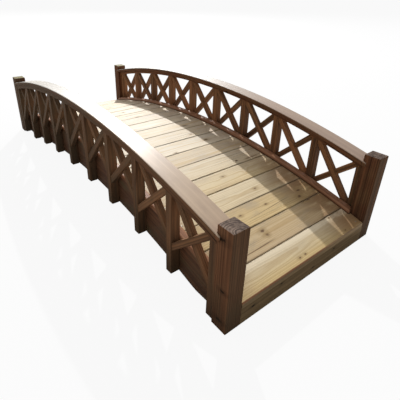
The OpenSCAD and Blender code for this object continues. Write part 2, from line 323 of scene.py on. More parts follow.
def rounded_outline(corners, radii, side_shares=SIDE_SHARES):
    """Closed outlines with rounded corners, from convex corners listed counter-clockwise.

    At each corner an arc swings from its touching point on one side to that on the next, about a
    centre on the bisector. A point at share t of the arc is the sum of the two spokes, weighted by
    the sines of the angles to the far spoke, over the sine of the whole swing. Extra points lie on
    the straight sides. Returns the points, and a mask that is 1 on the arcs.
    """
    c = np.asarray(corners, float)
    r = np.broadcast_to(np.asarray(radii, float), c.shape[:-1])[..., None]
    before = np.roll(c, 1, -2) - c
    after = np.roll(c, -1, -2) - c
    before /= np.linalg.norm(before, axis=-1, keepdims=True)
    after /= np.linalg.norm(after, axis=-1, keepdims=True)
    half = np.arccos(np.clip((before * after).sum(-1, keepdims=True), -1, 1)) / 2
    bisector = before + after
    bisector /= np.linalg.norm(bisector, axis=-1, keepdims=True)
    centre = c + bisector * r / np.sin(half)
    reach = r / np.tan(half)
    first = (c + before * reach - centre)[..., None, :]
    last = (c + after * reach - centre)[..., None, :]
    swing = (np.pi - 2 * half)[..., None, :]
    t = np.linspace(0, 1, ARC_STEPS + 1)[:, None]
    arc = centre[..., None, :] + (np.sin((1 - t) * swing) * first + np.sin(t * swing) * last) / np.sin(swing)
    start = arc[..., -1:, :]
    end = np.roll(arc[..., :1, :], -1, -3)
    f = np.asarray(side_shares)[:, None]
    outline = np.concatenate([arc, start * (1 - f) + end * f], -2)
    mask = np.tile(np.r_[np.ones(ARC_STEPS + 1), np.zeros(len(side_shares))], c.shape[-2])
    return outline.reshape(*c.shape[:-2], -1, 2), mask


def side_numbers(outline):
    """Number of the corner that each point of a four-cornered outline follows, and its count from there."""
    return np.divmod(np.arange(outline.shape[-2]), outline.shape[-2] // 4)


def eased_places(start, end, ease_start, ease_end, steps):
    """Places along a bar from start to end, and the inset of its outline there, so that both ends are eased.

    Near an end the place follows one minus the cosine and the inset one minus the sine of a quarter
    turn; between the two ends the places are even and the inset is zero.
    """
    turn = np.linspace(0, np.pi / 2, ARC_STEPS + 1)
    along = 1 - np.cos(turn)
    inward = 1 - np.sin(turn)
    way = np.sign(end - start)
    middle = np.linspace(start + way * ease_start, end - way * ease_end, steps + 1)[1:-1]
    places = np.r_[start + way * ease_start * along, middle, (end - way * ease_end * along)[::-1]]
    inset = np.r_[ease_start * inward, np.zeros(len(middle)), (ease_end * inward)[::-1]]
    return places, inset


def inset_outline(outline, inset):
    """The outline drawn in by each inset: its two half-widths about the middle shrink by that much."""
    low = outline.min(-2, keepdims=True)
    high = outline.max(-2, keepdims=True)
    middle = (low + high) / 2
    half = (high - low) / 2
    return middle + (outline - middle) * (1 - np.asarray(inset)[..., None, None] / half)


def worn_edges(arris, inset):
    """Mask that is 1 along the rounded edges of a bar and round its eased ends."""
    return np.maximum(arris, (inset > 0)[:, None])


def slow_wave(rng, along, size):
    """A slow stray along a timber: three sines of random phase, with wavelengths from 2.2 m to 0.5 m."""
    waves = np.array([2.9, 6.5, 12.0])
    weights = np.array([0.6, 0.3, 0.2])
    phase = rng.uniform(0, 2 * np.pi, 3)
    return size * (np.sin(along[:, None] * waves + phase) @ weights)


def heart_of_log(rng, count, reach, flat):
    """Offsets of timbers from the heart of their logs: mostly below the face, or all round if not flat."""
    turn = rng.uniform(-0.5, 0.5, count) if flat else rng.uniform(0, 2 * np.pi, count)
    away = rng.uniform(*reach, count)
    return np.stack([rng.uniform(0, 40, count), away * np.sin(turn), away * np.cos(turn)], -1)


class Bars:
    """Arrays of closed bars, gathered into one mesh."""

    def __init__(self):
        self.points, self.grain, self.values, self.faces = [], [], [], []
        self.count = 0

    def add(self, rings, grain, tone, arris, stain=0.0, face=0.0):
        """Adds bars from their outlines: point p of outline s of bar b is rings[b, s, p].

        Neighbouring outlines are joined by quads. Each end gets one more outline, drawn in a tenth of
        the way to the end's middle so that the end shades flat, and triangles from it to the middle.
        grain, tone, arris, stain and face are spread over the same points.
        """
        shape = rings.shape[:3]
        fields = np.stack([np.broadcast_to(v, shape) for v in (tone, arris, stain, face)], -1)
        for store, values in ((self.points, rings), (self.grain, grain), (self.values, fields)):
            ends = values[:, [0, -1]]
            drawn = ends + END_CAP_SHARE * (ends.mean(2, keepdims=True) - ends)
            if store is self.values:
                drawn[..., 1] = 0.0
            values = np.concatenate([drawn[:, :1], values, drawn[:, 1:]], 1)
            store.append(values.reshape(-1, values.shape[-1]))
            store.append(drawn.mean(2).reshape(-1, values.shape[-1]))
        bars, stations, outline = shape[0], shape[1] + 2, shape[2]
        each = stations * outline
        at = np.arange(each).reshape(stations, outline)
        turned = np.roll(at, -1, 1)
        quads = np.stack([at[:-1], turned[:-1], turned[1:], at[1:]], -1).reshape(-1, 4)
        start = self.count + each * np.arange(bars)[:, None, None]
        tips = self.count + each * bars + 2 * np.arange(bars)[:, None, None] + np.zeros((1, outline, 1), int)
        first = np.concatenate([tips, start + turned[0][:, None], start + at[0][:, None]], -1)
        last = np.concatenate([tips + 1, start + at[-1][:, None], start + turned[-1][:, None]], -1)
        self.faces += (start + quads).reshape(-1, 4).tolist()
        self.faces += first.reshape(-1, 3).tolist() + last.reshape(-1, 3).tolist()
        self.count += (each + 2) * bars
        return self

    def make(self, name, material, slot, *nodes):
        """Turns the gathered bars into one piece that stands for the named CAD nodes."""
        mesh = bpy.data.meshes.new(name)
        mesh.from_pydata(np.concatenate(self.points).tolist(), [], self.faces)
        grain = mesh.attributes.new("grain", "FLOAT_VECTOR", "POINT")
        grain.data.foreach_set("vector", np.concatenate(self.grain).astype(np.float32).ravel())
        values = np.concatenate(self.values).astype(np.float32)
        for k, label in enumerate(("tone", "arris", "stain", "face")):
            field = mesh.attributes.new(label, "FLOAT", "POINT")
            field.data.foreach_set("value", np.ascontiguousarray(values[:, k]))
        mesh.polygons.foreach_set("use_smooth", np.ones(len(mesh.polygons), bool))
        mesh.set_sharp_from_angle(angle=SHARP_ANGLE)
        mesh.materials.append(finish(material))
        piece = bpy.data.objects.new(name, mesh)
        bpy.context.scene.collection.objects.link(piece)
        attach(piece, BODY)
        if nodes:
            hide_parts(*nodes)


def dim(colour_value, factor):
    """The colour darkened by a factor."""
    return tuple(factor * v for v in colour_value)


class Wiring:
    """Adds nodes to one shader tree, so that a finish reads as a list of layers."""

    def __init__(self, tree):
        self.tree = tree

    def feed(self, socket, value):
        """Links the socket to an output, or sets it to a plain value."""
        if isinstance(value, bpy.types.NodeSocket):
            self.tree.links.new(value, socket)
        elif socket.type == "RGBA":
            socket.default_value = (*value[:3], 1.0)
        else:
            socket.default_value = value

    def node(self, kind, inputs=None, **settings):
        """Adds a shader node, sets its properties, and feeds the inputs given by name or number."""
        made = self.tree.nodes.new("ShaderNode" + kind)
        for key, value in settings.items():
            setattr(made, key, value)
        for key, value in (inputs or {}).items():
            self.feed(made.inputs[key], value)
        return made

    def sums(self, operation, a, b=0.0):
        """One step of arithmetic."""
        return self.node("Math", {0: a, 1: b}, operation=operation).outputs[0]

    def plus(self, a, b):
        return self.sums("ADD", a, b)

    def minus(self, a, b):
        return self.sums("SUBTRACT", a, b)

    def over(self, a, b):
        return self.sums("DIVIDE", a, b)

    def times(self, product, *factors):
        for factor in factors:
            product = self.sums("MULTIPLY", product, factor)
        return product

    def step(self, value, low, high, to_low=0.0, to_high=1.0):
        """Eases from to_low to to_high as the value goes from low to high."""
        inputs = {"Value": value, "From Min": low, "From Max": high, "To Min": to_low, "To Max": to_high}
        return self.node("MapRange", inputs, interpolation_type="SMOOTHSTEP").outputs[0]

    def between(self, factor, a, b):
        """The value at a share of the way from a to b."""
        return self.node("Mix", {0: factor, 2: a, 3: b}).outputs[0]

    def layers(self, base, *coats):
        """Lays colours over the base, each as thick as its factor."""
        for factor, coat in coats:
            base = self.node("Mix", {6: base, 7: coat, 0: factor}, data_type="RGBA").outputs[2]
        return base

    def vector(self, operation, a, b):
        """One step of arithmetic on each axis."""
        return self.node("VectorMath", {0: a, 1: b}, operation=operation).outputs[0]

    def noise(self, vector, stretch, detail=2.0, roughness=0.5):
        """Noise over the vector after each of its axes is stretched by its own factor."""
        inputs = {"Vector": self.vector("MULTIPLY", vector, stretch), "Scale": 1.0, "Detail": detail,
                  "Roughness": roughness}
        return self.node("TexNoise", inputs).outputs["Fac"]

    def field(self, name, output="Fac"):
        """A value stored on the piece's points."""
        return self.node("Attribute", attribute_name=name).outputs[output]

    def place(self):
        """Where a point is on the object."""
        return self.node("TexCoord").outputs["Object"]

    def axes(self, vector):
        """The three coordinates of a vector."""
        return self.node("SeparateXYZ", {0: vector}).outputs

    def group(self, name, inputs):
        """Places a shared effect and gives its outputs."""
        return self.node("Group", inputs, node_tree=shared_effect(name)).outputs

    def surface(self, **inputs):
        """Feeds the material's shader; an underscore in a name stands for a space."""
        shader = self.tree.nodes["Principled BSDF"]
        for key, value in inputs.items():
            self.feed(shader.inputs[key.replace("_", " ")], value)

    def relief(self, figure, ring_depth, strength):
        """Raises the rings and fibres a little through a bump."""
        height = self.plus(self.times(figure["Rings"], ring_depth), self.times(figure["Fibres"], 0.6))
        bump = self.node("Bump", {"Height": height, "Strength": strength, "Distance": 0.0008})
        self.surface(Normal=bump.outputs[0])


def timber_figure(w, given):
    """Wires grain coordinates to rings, fibres, streaks, knots, film and checks.

    Rings are the fraction of (distance from the heart of the log plus a slow stray) over the ring
    pitch, eased dark towards the late wood. Knots are the middles of a few random cells, and the
    rings bulge round them. Fibres, streaks and film are noise drawn out along the grain. Checks are
    the narrow strips where such a noise passes its middle value, kept in a few places only.
    """
    grain = given["Grain"]
    _, across, inward = w.axes(grain)
    cell = w.node("TexVoronoi", {"Vector": w.vector("MULTIPLY", grain, (9.0, 11.0, 5.0)), "Scale": 1.0,
                                 "Randomness": 1.0}).outputs
    pick = w.node("SeparateColor", {0: cell["Color"]}).outputs
    chosen = w.sums("LESS_THAN", pick[0], given["Knot share"])
    near = w.over(cell["Distance"], w.times(given["Knot size"], w.plus(pick[1], 0.4)))
    bulge = w.times(w.step(near, 3.2, 0.0), chosen)
    away = w.sums("SQRT", w.plus(w.times(across, across), w.times(inward, inward)))
    stray = w.times(w.minus(w.noise(grain, (1.7, 9.0, 9.0)), 0.5), given["Stray"])
    ruffle = w.times(w.minus(w.noise(grain, (9.0, 60.0, 60.0)), 0.5), 0.0022)
    away = w.plus(w.plus(away, stray), w.plus(ruffle, w.times(bulge, 0.014)))
    spell = w.node("TexNoise", {"W": away, "Scale": 45.0, "Detail": 1.0}, noise_dimensions="1D")
    ring = w.over(w.plus(away, w.times(spell.outputs["Fac"], 0.016)), given["Ring pitch"])
    season = w.sums("FRACT", ring)
    year = w.node("TexWhiteNoise", {"W": w.sums("FLOOR", ring)}, noise_dimensions="1D").outputs["Value"]
    late = w.times(w.step(season, 0.25, 0.85), w.step(season, 1.0, 0.9))
    line = w.sums("ABSOLUTE", w.minus(w.noise(grain, (0.5, 22.0, 22.0), 1.0), 0.5))
    rare = w.step(w.noise(grain, (1.3, 5.0, 5.0), 0.0), 0.60, 0.66)
    return {"Rings": w.times(late, w.plus(w.times(year, 0.6), 0.4)),
            "Fibres": w.noise(grain, (7.0, 520.0, 520.0), 3.0, 0.6),
            "Streaks": w.noise(grain, (1.5, 68.0, 68.0), 3.0, 0.6),
            "Knots": w.times(w.step(near, 1.0, 0.45), chosen),
            "Film": w.noise(grain, (5.0, 14.0, 14.0), 4.0, 0.6),
            "Checks": w.times(w.step(line, 0.012, 0.004), rare)}


def edge_wear(w, given):
    """Breaks up the mask along the arrises with noise, for rubbed edges."""
    patch = w.noise(given["Grain"], (11.0, 30.0, 30.0), 4.0, 0.65)
    open_at = w.minus(0.85, w.times(given["Amount"], 0.6))
    return {"Wear": w.times(w.step(w.minus(patch, open_at), -0.12, 0.18), given["Arris"])}


def placed_knot(w, given):
    """One knot: a dark heart about its place, and a brown halo round it, both ragged.

    The distance from the place, scaled on each axis by the knot's shape, is taken over the radius,
    and noise is added to it. The heart and the halo fade out at their own values of that sum.
    """
    away = w.vector("MULTIPLY", w.vector("SUBTRACT", given["At"], given["Place"]), given["Shape"])
    distance = w.node("VectorMath", {0: away}, operation="LENGTH").outputs["Value"]
    ragged = w.times(w.noise(given["At"], (110.0, 42.0, 110.0), 3.0), 2.0)
    near = w.plus(w.over(distance, given["Radius"]), ragged)
    return {"Heart": w.step(near, 2.1, 1.3), "Halo": w.step(near, 4.2, 1.6)}


# the shared effects: their inputs with defaults, and what wires them
EFFECTS = {
    "Timber figure": ({"Grain": (0, 0, 0), "Ring pitch": 0.006, "Stray": 0.010, "Knot size": 0.12,
                       "Knot share": 0.2}, timber_figure),
    "Edge wear": ({"Grain": (0, 0, 0), "Arris": 0.0, "Amount": 0.5}, edge_wear),
    "Placed knot": ({"At": (0, 0, 0), "Place": (0, 0, 0), "Radius": 0.006, "Shape": (1.15, 0.62, 0.5)},
                    placed_knot),
}


def shared_effect(name):
    """The shader node group of that name, made on its first use."""
    if name in bpy.data.node_groups:
        return bpy.data.node_groups[name]
    inputs, wire = EFFECTS[name]
    tree = bpy.data.node_groups.new(name, "ShaderNodeTree")
    for label, default in inputs.items():
        kind = "NodeSocketVector" if isinstance(default, tuple) else "NodeSocketFloat"
        tree.interface.new_socket(label, in_out="INPUT", socket_type=kind).default_value = default
    results = wire(Wiring(tree), tree.nodes.new("NodeGroupInput").outputs)
    for label in results:
        tree.interface.new_socket(label, in_out="OUTPUT", socket_type="NodeSocketFloat")
    gives = tree.nodes.new("NodeGroupOutput").inputs
    for label, result in results.items():
        tree.links.new(result, gives[label])
    return tree


def new_material(name):
    """A new material with nodes, and its wiring."""
    material = bpy.data.materials.new(name)
    material.use_nodes = True
    return material, Wiring(material.node_tree)


def timber_material(name, pitch, stray, knot_size, knot_share, rubbed):
    """A new material, its wiring, and its figure and wear, which follow the piece's own grain."""
    material, w = new_material(name)
    grain = w.field("grain", "Vector")
    figure = w.group("Timber figure", {"Grain": grain, "Ring pitch": pitch, "Stray": stray,
                                       "Knot size": knot_size, "Knot share": knot_share})
    wear = w.group("Edge wear", {"Grain": grain, "Arris": w.field("arris"), "Amount": rubbed})
    return material, w, figure, wear["Wear"]


# the stains: names of their deep and warm colours, roughness, shine, ring pitch, and what sets them apart
STAINS = {
    # bars under the handrails
    "dark_stain": dict(tints=("stain_deep", "stain_warm"), rough=0.64, specular=0.04, pitch=0.0085),
    # balusters and battens
    "slat_stain": dict(tints=("slat_deep", "slat_warm"), rough=0.62, specular=0.05, pitch=0.0085),
    # newel posts, with weathered end grain on their tops
    "post_stain": dict(tints=("stain_deep", "stain_warm"), rough=0.66, specular=0.04, pitch=0.0105,
                       late=0.75, painted_low_shade=0.45, sunned=("top_deep", "top_pale"), ring_share=0.9,
                       knots=POST_KNOTS_AND_SHADOW, front_film=0.45, mossy=0.6),
    # side beams, redder and smoother along their tops
    "beam_stain": dict(tints=("stain_deep", "stain_warm"), rough=0.46, specular=0.12, pitch=0.0085,
                       painted_low_shade=0.45, sunned=("kerb_deep", "kerb_warm"), patchy=0.9),
    # end planks, with a thinner and duller stain
    "plank_stain": dict(tints=("plank_deep", "plank_warm"), rough=0.64, specular=0.06, pitch=0.0075,
                        painted_low_shade=0.25, knots=PLANK_KNOTS),
    # handrails, with smooth bleached tops
    "rail_stain": dict(tints=("stain_deep", "stain_warm"), rough=0.62, specular=0.04, pitch=0.0075,
                       sunned=("rail_deep", "rail_warm"), ring_share=0.06, polish=0.75),
}


def stain_finish(name, tints, rough, specular, pitch, late=0.35, painted_low_shade=0.7, sunned=None, ring_share=0.4,
                 polish=0.0, knots=(), front_film=0.0, patchy=0.35, mossy=0.0):
    """Brown stain over sawn timber: streaks from deep to warm, dark late wood and knots, rubbed edges.

    Painted shade darkens the timber towards the lower edge of the bridge's sides, which is the underside of
    the beams, or the ground, and darkens the outer left side towards the back. Where a pair of sunned colours
    is given, they take the place of the stain on bleached faces, under what is left of a clear coat.
    """
    c = bpy.context.scene.bridge_colours
    s = bpy.context.scene.bridge_sizes
    arch = Arch(s)
    deep, warm = (getattr(c, key) for key in tints)
    material, w, figure, wear = timber_material(name, pitch, stray=0.016, knot_size=0.13, knot_share=0.12,
                                                rubbed=0.35)
    rings, film, fibres = figure["Rings"], figure["Film"], figure["Fibres"]
    tone = w.field("tone")
    at = w.place()
    x, y, z = w.axes(at)
    streaks = w.step(figure["Streaks"], 0.34, 0.66)
    streak = w.between(0.45, streaks, tone)
    base = w.layers(
        deep,
        (streak, warm),
        (w.step(film, 0.45, 0.68, 0.0, patchy), c.plank_deep),
        (w.times(rings, late), dim(deep, 0.5)),
        (w.step(fibres, 0.52, 0.80, 0.0, 0.35), c.stain_worn),
        (w.times(figure["Knots"], 0.9), dim(c.knot, 0.2)),
        (w.times(figure["Checks"], 0.7), dim(deep, 0.2)),
        (w.times(wear, 0.5), c.stain_worn))
    # placed knots; on the front left post the last one is a painted shadow under the handrail's ear
    for *middle, radius in knots:
        knot = w.group("Placed knot", {"At": at, "Place": middle, "Radius": radius, "Shape": (0.6, 0.6, 1.3)})
        base = w.layers(base, (w.times(knot["Halo"], 0.5), dim(deep, 0.5)),
                        (w.times(knot["Heart"], 0.95), dim(c.knot, 0.1)))
    # painted shade: the stain darkens towards the lower edge of the sides, under the beams and near the
    # ground
    fall = w.times(x, x, 0.5 / arch.radius)
    lower = w.sums("MAXIMUM", w.minus(arch.beam_crown - s.beam_depth, fall), 0.0)
    above = w.minus(w.minus(z, lower), w.times(film, 0.16))
    # painted shade on the outer left side, deepening towards the back of the bridge
    shaded = w.times(w.step(x, 1.3, -0.7), w.step(y, -0.470, -0.500, 0.0, 0.45))
    green = w.times(w.step(y, -0.500, -0.530), w.step(film, 0.25, 0.6, 0.3, 0.7), w.step(x, 2.2, -0.7))
    base = w.layers(
        base,
        (w.step(above, 0.18, -0.08, 0.0, painted_low_shade), c.painted_low_shade),
        (shaded, dim(deep, 0.45)),
        (green, c.algae))
    if front_film:
        front = w.step(x, s.half_length - 0.004, s.half_length - 0.0005, 0.0, front_film)
        base = w.layers(base, (front, c.post_film))
    if sunned:
        dark, pale = (getattr(c, key) for key in sunned)
        if polish:
            streak = w.between(0.75, streaks, tone)
        top = w.layers(dark, (streak, pale), (w.times(rings, ring_share), dim(dark, 0.8)))
        if mossy:
            top = w.layers(top, (w.step(x, 0.0, -1.0, 0.0, mossy), c.moss))
        if polish:
            top = w.layers(top, (w.step(film, 0.42, 0.66, 0.0, 0.3), dark),
                           (w.step(x, 0.9, -0.4, 0.0, 0.9), c.silver))
        base = w.layers(base, (w.field("face"), top))
    w.surface(Base_Color=base, Roughness=w.step(fibres, 0.2, 0.8, rough - 0.08, rough + 0.12),
              Specular_IOR_Level=specular)
    if polish:
        coat = w.times(w.field("face"), w.step(x, -0.9, 0.2, 0.35 * polish, polish))
        w.surface(Coat_Weight=coat, Coat_Roughness=0.45)
    w.relief(figure, 0.5, 0.15 if polish else 0.35)
    return material


def pine_finish(name):
    """Bare planed pine: boards from pale to amber and tan, honey late wood, knots, checks, and trodden grime
    with painted shade.

    Grime lies along the edges and the kerbs; beside the right kerb near the front it also paints the shade
    that falls there. The boards bleach towards the back, and the end boards' faces carry the planks' stain,
    and their top edges the warm one.
    """
    c = bpy.context.scene.bridge_colours
    s = bpy.context.scene.bridge_sizes
    arch = Arch(s)
    material, w, figure, wear = timber_material(name, pitch=0.0075, stray=0.030, knot_size=0.11,
                                                knot_share=0.10, rubbed=0.75)
    rings, film, fibres, streaks = figure["Rings"], figure["Film"], figure["Fibres"], figure["Streaks"]
    tone = w.field("tone")
    at = w.place()
    x, y, _ = w.axes(at)
    weathered = w.times(w.step(film, 0.46, 0.70, 0.0, 0.75), w.step(tone, 0.5, 0.8, 0.35, 1.0))
    bleached = w.times(w.step(x, 1.1, 0.2, 0.0, 0.65), w.minus(1.0, w.times(rings, 0.8)))
    # trodden grime along the kerbs, strongest beside the right kerb near the front, where it also paints the
    # shade that the right rail casts
    kerbs = w.sums("MAXIMUM", w.step(y, 0.14, 0.40), w.step(y, -0.30, -0.46, 0.0, 0.3))
    dirt_and_shade = w.times(kerbs, w.step(film, 0.28, 0.55), w.step(x, 0.60, 1.05, 0.35, 0.85))
    base = w.layers(
        c.pine_pale,
        (w.step(tone, 0.0, 0.5), c.pine_amber),
        (w.step(tone, 0.5, 1.0), c.pine_tan),
        (w.step(streaks, 0.45, 0.75, 0.0, 0.45), c.pine_honey),
        (w.times(rings, 0.50), c.pine_honey),
        (weathered, c.pine_grey),
        (w.step(fibres, 0.52, 0.85, 0.0, 0.35), dim(c.pine_honey, 0.45)),
        (bleached, c.pine_silver),
        (w.step(tone, 0.06, -0.20, 0.0, 0.85), c.pine_cream),
        (dirt_and_shade, c.pine_dirt_and_shade),
        (figure["Knots"], c.knot),
        (w.times(figure["Checks"], 0.8), c.knot))
    for along, across, radius in KNOTS:
        middle = (along, across, float(arch.height(along, s.deck_crown)))
        knot = w.group("Placed knot", {"At": at, "Place": middle, "Radius": radius})
        base = w.layers(base, (w.times(knot["Halo"], 0.55), dim(c.pine_honey, 0.7)),
                        (w.times(knot["Heart"], 0.85), c.knot))
    front = w.layers(c.plank_deep, (w.step(streaks, 0.36, 0.64), c.plank_warm))
    edge = w.times(w.field("stain"), w.step(film, 0.15, 0.45, 0.75, 1.0))
    base = w.layers(
        base,
        (w.times(wear, 0.6), dim(c.pine_grey, 0.35)),
        (w.field("face"), front),
        (edge, c.stain_warm))
    w.surface(Base_Color=base, Roughness=w.step(fibres, 0.2, 0.8, 0.56, 0.72), Specular_IOR_Level=0.24)
    w.relief(figure, 0.7, 0.4)
    return material


def frame_finish(name):
    """Bare softwood of the hidden supports, on object coordinates because these nodes keep their meshes."""
    c = bpy.context.scene.bridge_colours
    material, w = new_material(name)
    figure = w.group("Timber figure", {"Grain": w.place(), "Ring pitch": 0.008, "Stray": 0.02,
                                       "Knot size": 0.12, "Knot share": 0.1})
    base = w.layers(c.frame_pine, (w.step(figure["Streaks"], 0.35, 0.7), dim(c.frame_pine, 0.55)),
                    (figure["Knots"], c.knot))
    w.surface(Base_Color=base, Roughness=w.step(figure["Fibres"], 0.2, 0.8, 0.6, 0.8))
    w.relief(figure, 0.2, 0.4)
    return material


def zinc_finish(name):
    """Plated screw heads, duller in patches."""
    c = bpy.context.scene.bridge_colours
    material, w = new_material(name)
    patch = w.noise(w.place(), (260.0, 260.0, 260.0), 3.0)
    w.surface(Base_Color=w.layers(c.zinc, (w.step(patch, 0.4, 0.65), dim(c.zinc, 0.5))),
              Roughness=w.step(patch, 0.3, 0.7, 0.35, 0.6), Metallic=0.9)
    return material


def floor_finish(name):
    """Plain floor that is near white to the camera and keeps the shadow."""
    stage = bpy.context.scene.bridge_stage
    material, w = new_material(name)
    w.surface(Base_Color=stage.floor_colour, Roughness=0.9)
    seen = w.times(w.node("LightPath").outputs["Is Camera Ray"], stage.floor_white)
    white = w.node("Emission", {"Color": WHITE, "Strength": 1.0})
    shaded = w.tree.nodes["Principled BSDF"]
    mixed = w.node("MixShader", {0: seen, 1: shaded.outputs[0], 2: white.outputs[0]})
    w.feed(w.tree.nodes["Material Output"].inputs["Surface"], mixed.outputs[0])
    return material


OTHER_FINISHES = {"bare_pine": pine_finish, "frame_pine": frame_finish, "zinc": zinc_finish,
                  "pale_floor": floor_finish}


def finish(name):
    """The material of that name, made on its first use."""
    if name in bpy.data.materials:
        return bpy.data.materials[name]
    if name in STAINS:
        return stain_finish(name, **STAINS[name])
    return OTHER_FINISHES[name](name)


def across_deck(angle, arch, outline, y):
    """Puts outlines drawn on a board's own face, at places y across the bridge, on the arch at a tilt.

    A point is the middle of the arch, plus the radius along the tilted upright, plus the outline's
    first coordinate along the tilted tangent and its second along the upright.
    """
    up = np.array([math.sin(angle), math.cos(angle)])
    tangent = np.array([math.cos(angle), -math.sin(angle)])
    foot = np.array([0.0, arch.deck_centre]) + up * arch.radius
    flat = foot + outline[..., :1] * tangent + outline[..., 1:] * up
    return np.stack([flat[..., 0], np.broadcast_to(y, flat.shape[:-1]), flat[..., 1]], -1)


class BRIDGE_OT_deck_boards(bpy.types.Operator):
    """Lay the deck boards, each slightly cupped and wavy, the end ones notched round beams and posts"""

    bl_idname = "bridge.deck_boards"
    bl_label = "Deck boards"

    def execute(self, context):
        s = context.scene.bridge_sizes
        arch = Arch(s)
        rng = np.random.default_rng(7)
        hearts = heart_of_log(rng, BOARD_COUNT, BOARD_HEART, True)
        tones = rng.permutation(np.linspace(*BOARD_TONES, BOARD_COUNT))
        tones[:len(FIRST_BOARD_TONES)] = FIRST_BOARD_TONES
        leans = rng.uniform(-BOARD_LEAN, BOARD_LEAN, BOARD_COUNT)
        leans[0] = FIRST_BOARD_LEAN
        for i in range(BOARD_COUNT):
            self.lay(i, s, arch, rng, hearts[i], tones[i], leans[i])
        return {"FINISHED"}

    def lay(self, i, s, arch, rng, heart, tone, lean):
        """One board: its rounded section runs from the right side of the bridge to the left.

        The section's corners lie half a board to each side of its middle. On an end board the outer
        edge is cut upright at the bridge's end, and beside the beams the inner edge steps back to the
        posts. Its top lifts by a slow wave along it and a parabola across it.
        """
        angle = arch.board_angles[i]
        end = {0: 1, BOARD_COUNT - 1: -1}.get(i, 0)
        half = (arch.board_widths[i] - s.board_gap) / 2
        inner_y = arch.beam_inner - s.board_end_gap
        reach_y = arch.post_inner - s.board_end_gap if end else inner_y
        places, inset = eased_places(reach_y, -reach_y, BOARD_END_EASE, BOARD_END_EASE, BOARD_STEPS)
        edges = {-1: -half, 1: half}
        skews = {-1: 0.0, 1: 0.0}
        radii = {-1: [s.board_arris, s.board_arris], 1: [s.board_arris, s.board_arris]}
        if end:
            tip = ARC_STEPS + 1
            run = np.linspace(inner_y - NOTCH_STEP, NOTCH_STEP - inner_y, BOARD_STEPS + 1)
            places = np.r_[places[:tip], inner_y, run, -inner_y, places[-tip:]]
            inset = np.r_[inset[:tip], np.zeros(len(run) + 2), inset[-tip:]]
            outer, notch = (end * np.array([s.half_length, arch.post_face + s.board_end_gap])
                            - arch.radius * math.sin(angle)) / math.cos(angle)
            edges[end] = outer
            edges[-end] = np.where(np.abs(places) >= inner_y, notch, edges[-end])
            skews[end] = s.board_thickness * math.tan(angle)
            radii[end] = END_BOARD_ROUNDS
        low, high = (edges[k] + np.zeros(len(places)) for k in (-1, 1))
        corners = corners_of((low + skews[-1], -s.board_thickness), (high + skews[1], -s.board_thickness),
                             (high, 0.0), (low, 0.0))
        rounds = (radii[-1][0], radii[1][0], radii[1][1], radii[-1][1])
        outline, arris = rounded_outline(corners, rounds, BOARD_SIDE_SHARES)
        outline = inset_outline(outline, inset)
        across = outline[..., 0] / half
        lift = slow_wave(rng, places, s.warp)[:, None] + rng.uniform(*CUP_SHARES) * s.warp * across ** 2
        stray = slow_wave(rng, places, STRAY_SHARE * s.warp)[:, None]
        warped = outline.copy()
        warped[..., 1] += np.where(outline[..., 1] > -s.board_thickness / 2, lift, 0.0)
        if not end:
            warped[..., 0] += stray
        rings = across_deck(angle, arch, warped, places[:, None])
        along = np.broadcast_to(places[:, None], outline.shape[:-1])
        grain = np.stack([along, outline[..., 0], outline[..., 1]], -1) + heart
        side, count = side_numbers(outline)
        edge = (side == (2 if end > 0 else 3)) & (count <= ARC_STEPS) & (end != 0)
        face = (side == (1 if end > 0 else 3)) & ~edge & (end != 0)
        fade = np.clip((EDGE_STAIN_END - places) / EDGE_STAIN_FADE, EDGE_STAIN_LEAST, 1.0)[:, None]
        bars = Bars().add(rings[None], grain[None], tone + lean * across, worn_edges(arris, inset),
                          edge * fade, face)
        bars.make(f"plank_{i + 1:02d}", "bare_pine", "deck_timber", f"deck_board_{i + 1:02d}")


class BRIDGE_OT_newel_posts(bpy.types.Operator):
    """Raise the four square newel posts with eased edges and tops"""

    bl_idname = "bridge.newel_posts"
    bl_label = "Newel posts"

    def execute(self, context):
        s = context.scene.bridge_sizes
        arch = Arch(s)
        rng = np.random.default_rng(21)
        side = s.newel_side / 2
        outline, arris = rounded_outline(rectangle(s.newel_side, s.newel_side), s.arris)
        places, inset = eased_places(0.0, s.newel_height, *POST_EASES, POST_STEPS)
        flat = inset_outline(outline, inset)
        z = np.broadcast_to(places[:, None], flat.shape[:-1])[..., None]
        top = (places == places[-1])[:, None]
        for (end_name, side_name), tone in POST_TONES.items():
            across = SIDES[side_name]
            foot = np.array([ENDS[end_name] * (s.half_length - side), across * arch.post_middle, 0.0])
            rings = np.concatenate([flat, z], -1) + foot
            grain = np.concatenate([z, flat], -1) + heart_of_log(rng, 1, POST_HEART, False)
            tones = tone + POST_LEAN * across * flat[..., 1] / side
            bars = Bars().add(rings[None], grain[None], tones, worn_edges(arris, inset), 0.0, top)
            name = f"{end_name}_{side_name}"
            bars.make(f"{name}_post", "post_stain", "stained_timber", f"{name}_newel")
        return {"FINISHED"}


